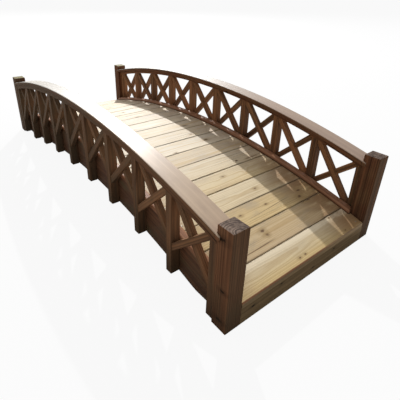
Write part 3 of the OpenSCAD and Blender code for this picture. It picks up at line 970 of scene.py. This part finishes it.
def arched_bar(bars, arch, rng, y, width, reach, crown, depths, radii, steps=BEAM_STEPS, ease=0.0,
               tone=0.5, bleached=False):
    """Adds a bar whose upright section is carried along the bridge over a reach of x.

    At each place x the section is a rectangle of the given width, with rounded corners, between the
    two arcs drawn inside the crown's by the depths, and nowhere under the ground. The grain runs
    along the arc.
    """
    places = np.linspace(*reach, steps + 1)
    inset = np.zeros(steps + 1)
    if ease:
        places, inset = eased_places(*reach, ease, ease, steps)
    top = arch.height(places, crown, depths[0])
    low = np.maximum(arch.height(places, crown, depths[1]), 0.0)
    half = width / 2
    outline, arris = rounded_outline(corners_of((-half, low), (half, low), (half, top), (-half, top)), radii)
    outline = inset_outline(outline, inset)
    x = np.broadcast_to(places[:, None], outline.shape[:-1])
    rings = np.stack([x, y + outline[..., 0], outline[..., 1]], -1)
    along = arch.radius * np.arcsin(x / arch.radius)
    grain = np.stack([along, outline[..., 0], outline[..., 1] - top[:, None]], -1)
    side, count = side_numbers(outline)
    sunned = bleached & ((side == 2) | ((side == 3) & (count <= ARC_STEPS)))
    heart = heart_of_log(rng, 1, ARCH_HEART, True)
    return bars.add(rings[None], grain[None] + heart, tone, worn_edges(arris, inset), 0.0, sunned)


class BRIDGE_OT_side_beams(bpy.types.Operator):
    """Set the two arched side beams, flat on the ground near their ends and rounded along the top"""

    bl_idname = "bridge.side_beams"
    bl_label = "Side beams"

    def execute(self, context):
        s = context.scene.bridge_sizes
        arch = Arch(s)
        rng = np.random.default_rng(33)
        radii = (s.arris, s.arris, s.kerb_round, s.kerb_round)
        for name, side in SIDES.items():
            y = side * (arch.beam_outer - s.beam_thickness / 2)
            bars = arched_bar(Bars(), arch, rng, y, s.beam_thickness, (-arch.post_face, arch.post_face),
                              arch.beam_crown, (0.0, s.beam_depth), radii, bleached=True)
            bars.make(f"{name}_arched_beam", "beam_stain", "stained_timber", f"{name}_side_beam")
        return {"FINISHED"}


class BRIDGE_OT_end_planks(bpy.types.Operator):
    """Close both ends under the last boards with a level plank, sloped along its top"""

    bl_idname = "bridge.end_planks"
    bl_label = "End planks"

    def execute(self, context):
        s = context.scene.bridge_sizes
        arch = Arch(s)
        rng = np.random.default_rng(45)
        places, inset = eased_places(arch.post_inner, -arch.post_inner, PLANK_EASE, PLANK_EASE, PLANK_STEPS)
        for name, end in ENDS.items():
            angle = arch.board_angles[0 if end > 0 else -1]
            x = np.sort([end * (s.half_length - s.plank_thickness), end * s.half_length])
            # the line of the end board's underside
            under = arch.radius - s.board_thickness - x * math.sin(angle)
            under = arch.deck_centre + under / math.cos(angle)
            corners = corners_of((x[0], 0.0), (x[1], 0.0), (x[1], under[1]), (x[0], under[0]))
            outline, arris = rounded_outline(corners, PLANK_ROUNDS, PLANK_SIDE_SHARES)
            flat = inset_outline(outline, inset)
            y = np.broadcast_to(places[:, None], flat.shape[:-1])
            rings = np.stack([flat[..., 0], y, flat[..., 1]], -1)
            heart = heart_of_log(rng, 1, PLANK_HEART, True)
            grain = np.stack([y, flat[..., 1], flat[..., 0] - x[0]], -1) + heart
            bars = Bars().add(rings[None], grain[None], PLANK_TONE, arris)
            bars.make(f"{name}_closing_plank", "plank_stain", "stained_timber", f"{name}_end_plank")
        return {"FINISHED"}


class BRIDGE_OT_balusters(bpy.types.Operator):
    """Hang the balusters outside the side beams, up to the bars under the handrails"""

    bl_idname = "bridge.balusters"
    bl_label = "Balusters"

    def execute(self, context):
        s = context.scene.bridge_sizes
        arch = Arch(s)
        rng = np.random.default_rng(57)
        outline, arris = rounded_outline(rectangle(s.baluster_width, s.baluster_depth), s.arris)
        # up the bevel at the foot first, and then up to the bar's curved underside
        bevel = np.linspace(0, 1, BEVEL_STEPS + 1)
        rise = np.linspace(0, 1, BALUSTER_STEPS + 1)[1:]
        lift = s.baluster_bevel * np.r_[bevel, np.ones(BALUSTER_STEPS)]
        share_up = np.r_[0 * bevel, rise][:, None]
        inset = BEVEL_SLOPE_SHARE * (s.baluster_bevel - lift)
        flat = inset_outline(outline, inset)
        middle = arch.baluster_places[:, None, None]
        x = middle + flat[None, ..., 0]
        foot = np.maximum(arch.height(middle, arch.beam_crown, s.beam_depth), s.baluster_clearance)
        top = arch.height(x, arch.rail_crown, arch.rail_under)
        z = foot + lift[:, None] + share_up * (top - foot - s.baluster_bevel)
        across = np.broadcast_to(flat[None, ..., 1], x.shape)
        local = np.stack([z, x - middle, across], -1)
        for name, side in SIDES.items():
            rings = np.stack([x, side * arch.baluster_middle + across, z], -1)
            hearts = heart_of_log(rng, BALUSTER_COUNT, SLAT_HEART, False)[:, None, None]
            tones = rng.uniform(0, 1, BALUSTER_COUNT)
            tones[-2:] = FRONT_BALUSTER_TONES[name]
            bars = Bars().add(rings, local + hearts, tones[:, None, None], worn_edges(arris, inset))
            bars.make(f"{name}_uprights", "slat_stain", "stained_timber", f"{name}_balusters")
        return {"FINISHED"}


class BRIDGE_OT_battens(bpy.types.Operator):
    """Fit the slanting battens between the balusters, in two crossing layers"""

    bl_idname = "bridge.battens"
    bl_label = "Crossed battens"

    def execute(self, context):
        s = context.scene.bridge_sizes
        arch = Arch(s)
        rng = np.random.default_rng(69)
        for name, side in SIDES.items():
            for layer, sign, falling in (("inner", -1, True), ("outer", 1, False)):
                self.fit(s, arch, rng, f"{name}_{layer}", side, sign, falling)
        return {"FINISHED"}

    def fit(self, s, arch, rng, name, side, sign, falling):
        """One layer: each edge line of a batten runs until it meets a baluster's face or the bar above.

        Where a line meets the bar is the root of the quadratic for a line through a circle.
        """
        left = arch.baluster_places[:-1] + s.baluster_width / 2
        right = arch.baluster_places[1:] - s.baluster_width / 2
        high, low = (left, right) if falling else (right, left)
        high_z = arch.height(high, arch.rail_crown, arch.rail_under)
        low_z = arch.height(low, arch.beam_crown) - s.batten_drop
        left_z, right_z = (high_z, low_z) if falling else (low_z, high_z)
        run = np.stack([right - left, right_z - left_z], -1)
        run /= np.linalg.norm(run, axis=-1, keepdims=True)
        run_x, run_z = run[:, :1], run[:, 1:]
        outline, arris = rounded_outline(rectangle(s.batten_thickness, s.batten_width), BATTEN_ROUND)
        start_x = left[:, None] - outline[:, 1] * run_z
        start_z = left_z[:, None] + outline[:, 1] * run_x
        up = start_z - (arch.rail_crown - arch.radius)
        dot = start_x * run_x + up * run_z
        root = np.sqrt(dot ** 2 - start_x ** 2 - up ** 2 + (arch.radius - arch.rail_under) ** 2)
        begin = np.maximum((left[:, None] - start_x) / run_x, -dot - root)
        finish_at = np.minimum((right[:, None] - start_x) / run_x, -dot + root)
        shares = np.linspace(0, 1, BATTEN_STEPS + 1)[None, :, None]
        t = begin[:, None] + shares * (finish_at - begin)[:, None]
        y = side * (arch.baluster_middle + sign * (s.batten_thickness - s.batten_lap) / 2)
        thick, wide = (np.broadcast_to(outline[:, k], t.shape) for k in (0, 1))
        rings = np.stack([start_x[:, None] + t * run_x[:, None], y + thick,
                          start_z[:, None] + t * run_z[:, None]], -1)
        hearts = heart_of_log(rng, len(left), SLAT_HEART, False)[:, None, None]
        tones = rng.uniform(0, 1, len(left))[:, None, None]
        bars = Bars().add(rings, np.stack([t, wide, thick], -1) + hearts, tones, arris)
        bars.make(f"{name}_slats", "slat_stain", "stained_timber", f"{name}_battens")


class BRIDGE_OT_handrails(bpy.types.Operator):
    """Bend the handrails and the bars under them along the arch, with ears beside the posts"""

    bl_idname = "bridge.handrails"
    bl_label = "Handrails"

    def execute(self, context):
        s = context.scene.bridge_sizes
        arch = Arch(s)
        rng = np.random.default_rng(81)
        face = arch.post_face
        span = (-face, face)
        ear = (s.rail_width - s.newel_side) / 2
        cap = (0.0, s.rail_thickness)
        for name, side in SIDES.items():
            middle = side * arch.post_middle
            # the left handrail is warm and the right one deep
            tone = 0.5 - 0.5 * side
            bars = arched_bar(Bars(), arch, rng, side * arch.baluster_middle, s.under_rail_width, span,
                              arch.rail_crown, (s.rail_thickness, arch.rail_under), s.arris)
            bars.make(f"{name}_rail_bar", "dark_stain", "stained_timber", f"{name}_under_rail")
            bars = arched_bar(Bars(), arch, rng, middle, s.rail_width, span, arch.rail_crown, cap,
                              RAIL_ROUNDS, RAIL_STEPS, tone=tone, bleached=True)
            for end in ENDS.values():
                for edge in (-1, 1):
                    reach = np.sort([end * (face - EAR_OVERLAP), end * (face + s.rail_ear)])
                    arched_bar(bars, arch, rng, middle + edge * (s.newel_side + ear) / 2, ear, reach,
                               arch.rail_crown, cap, EAR_ROUND, EAR_STEPS, EAR_EASE, tone, True)
            bars.make(f"{name}_rail_cap", "rail_stain", "handrail_timber", f"{name}_handrail")
        return {"FINISHED"}


class BRIDGE_OT_deck_supports(bpy.types.Operator):
    """Give the hidden ledgers and joist their bare timber"""

    bl_idname = "bridge.deck_supports"
    bl_label = "Deck supports"

    def execute(self, context):
        for name in ("left_ledger", "right_ledger", "centre_joist"):
            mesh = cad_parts[name].data
            mesh.materials.clear()
            mesh.materials.append(finish("frame_pine"))
        return {"FINISHED"}


class BRIDGE_OT_screws(bpy.types.Operator):
    """Sink two screws through each board into both ledgers

    A head is a ring of points turned about the board's upright, at each distance and height of its outline.
    """

    bl_idname = "bridge.screws"
    bl_label = "Deck screws"

    def execute(self, context):
        s = context.scene.bridge_sizes
        arch = Arch(s)
        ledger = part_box("right_ledger")
        rows = np.array([-1, 1]) * (ledger[0].y + ledger[1].y) / 2
        each_board = np.array([-1, -1, 1, 1])
        angle = np.repeat(arch.board_angles, len(each_board))
        along = (SCREW_SHARE * arch.board_widths[:, None] * each_board).ravel()
        y = np.tile(rows, 2 * BOARD_COUNT)
        up = np.stack([np.sin(angle), 0 * angle, np.cos(angle)], -1)
        tangent = np.stack([np.cos(angle), 0 * angle, -np.sin(angle)], -1)
        middle = np.stack([0 * angle, y, 0 * angle + arch.deck_centre], -1)
        middle = middle + up * (arch.radius - SCREW_SINK) + tangent * along[:, None]
        turn = np.linspace(0, 2 * np.pi, SCREW_SIDES, endpoint=False)
        flat = np.array(SCREW_REACH)[:, None, None] * np.stack([np.cos(turn), np.sin(turn)], -1)
        lateral = np.array([0.0, 1.0, 0.0])
        rise = np.array(SCREW_RISE)[:, None, None]
        rings = (middle[:, None, None] + flat[..., :1] * tangent[:, None, None] + flat[..., 1:] * lateral
                 + rise * up[:, None, None])
        Bars().add(rings, rings, 0.0, 0.0).make("deck_screws", "zinc", "deck_timber")
        return {"FINISHED"}


class BRIDGE_OT_stage(bpy.types.Operator):
    """Set the pale floor, the lights and the camera"""

    bl_idname = "bridge.stage"
    bl_label = "Stage"

    def execute(self, context):
        scene = context.scene
        stage = scene.bridge_stage
        scene.view_settings.view_transform = "Standard"
        mesh = bpy.data.meshes.new("floor")
        square = np.c_[rectangle(2 * FLOOR_REACH, 2 * FLOOR_REACH), np.zeros(4)]
        mesh.from_pydata(square.tolist(), [], [(0, 1, 2, 3)])
        mesh.materials.append(finish("pale_floor"))
        floor = bpy.data.objects.new("floor", mesh)
        scene.collection.objects.link(floor)
        world = bpy.data.worlds.new("soft_sky")
        world.use_nodes = True
        w = Wiring(world.node_tree)
        path = w.node("LightPath").outputs
        seen = w.sums("MAXIMUM", path["Is Camera Ray"], path["Is Glossy Ray"])
        sky = world.node_tree.nodes["Background"].inputs
        w.feed(sky["Color"], WHITE)
        w.feed(sky["Strength"], w.step(seen, 0.0, 1.0, stage.sky_strength, 1.0))
        scene.world = world
        self.hang("side_light", stage.side_light_place, stage.side_light_power, stage.side_light_size,
                  stage.side_light_size)
        self.hang("back_light", stage.back_light_place, stage.back_light_power, stage.back_light_width,
                  stage.back_light_height)
        camera = bpy.data.objects.new("camera", bpy.data.cameras.new("camera"))
        scene.collection.objects.link(camera)
        camera.matrix_world = self.stand(stage.camera_place, *stage.camera_turn)
        camera.data.lens = stage.camera_lens
        camera.data.shift_x, camera.data.shift_y = stage.camera_shift
        camera.data.clip_end = VIEW_REACH
        scene.camera = camera
        return {"FINISHED"}

    def hang(self, name, spot, watts, width, height):
        """A rectangular light at a spot, facing the middle of the bridge."""
        lamp = bpy.data.lights.new(name, "AREA")
        lamp.shape = "RECTANGLE"
        lamp.energy = watts
        lamp.size = width
        lamp.size_y = height
        light = bpy.data.objects.new(name, lamp)
        bpy.context.scene.collection.objects.link(light)
        light.location = spot
        light.rotation_euler = (LIGHTS_AIM - Vector(spot)).to_track_quat("-Z", "Y").to_euler()

    def stand(self, spot, azimuth, elevation, roll):
        """Camera matrix from where it stands and its azimuth, elevation and roll."""
        level = math.cos(elevation)
        back = Vector((math.sin(azimuth) * level, -math.cos(azimuth) * level, math.sin(elevation)))
        right = Vector((math.cos(azimuth), math.sin(azimuth), 0.0))
        up = back.cross(right)
        rolled_right = math.cos(roll) * right + math.sin(roll) * up
        rolled_up = math.cos(roll) * up - math.sin(roll) * right
        turn = Matrix((rolled_right, rolled_up, back)).transposed().to_4x4()
        turn.translation = Vector(spot)
        return turn


PIECES = (BRIDGE_OT_deck_boards, BRIDGE_OT_newel_posts, BRIDGE_OT_side_beams, BRIDGE_OT_end_planks,
          BRIDGE_OT_balusters, BRIDGE_OT_battens, BRIDGE_OT_handrails, BRIDGE_OT_deck_supports,
          BRIDGE_OT_screws, BRIDGE_OT_stage)


class BRIDGE_PT_panel(bpy.types.Panel):
    """Lists the pieces of the bridge and the settings that shape them"""

    bl_idname = "BRIDGE_PT_panel"
    bl_label = "Arched Garden Bridge"
    bl_space_type = "VIEW_3D"
    bl_region_type = "UI"
    bl_category = "Bridge"

    def draw(self, context):
        column = self.layout.column()
        for piece in PIECES:
            column.operator(piece.bl_idname)
        for group in (context.scene.bridge_sizes, context.scene.bridge_colours, context.scene.bridge_stage):
            box = self.layout.box()
            for key in group.bl_rna.properties.keys():
                if key not in {"rna_type", "name"}:
                    box.prop(group, key)


GROUPS = {"bridge_sizes": BridgeSizes, "bridge_colours": BridgeColours, "bridge_stage": BridgeStage}


def register():
    for cls in (*GROUPS.values(), *PIECES, BRIDGE_PT_panel):
        bpy.utils.register_class(cls)
    for name, cls in GROUPS.items():
        setattr(bpy.types.Scene, name, PointerProperty(type=cls))


def unregister():
    for name in GROUPS:
        delattr(bpy.types.Scene, name)
    for cls in reversed((*GROUPS.values(), *PIECES, BRIDGE_PT_panel)):
        bpy.utils.unregister_class(cls)


def main():
    """Registers the add-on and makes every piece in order."""
    register()
    bpy.ops.bridge.deck_boards()
    bpy.ops.bridge.newel_posts()
    bpy.ops.bridge.side_beams()
    bpy.ops.bridge.end_planks()
    bpy.ops.bridge.balusters()
    bpy.ops.bridge.battens()
    bpy.ops.bridge.handrails()
    bpy.ops.bridge.deck_supports()
    bpy.ops.bridge.screws()
    bpy.ops.bridge.stage()


if __name__ == "__main__":
    main()
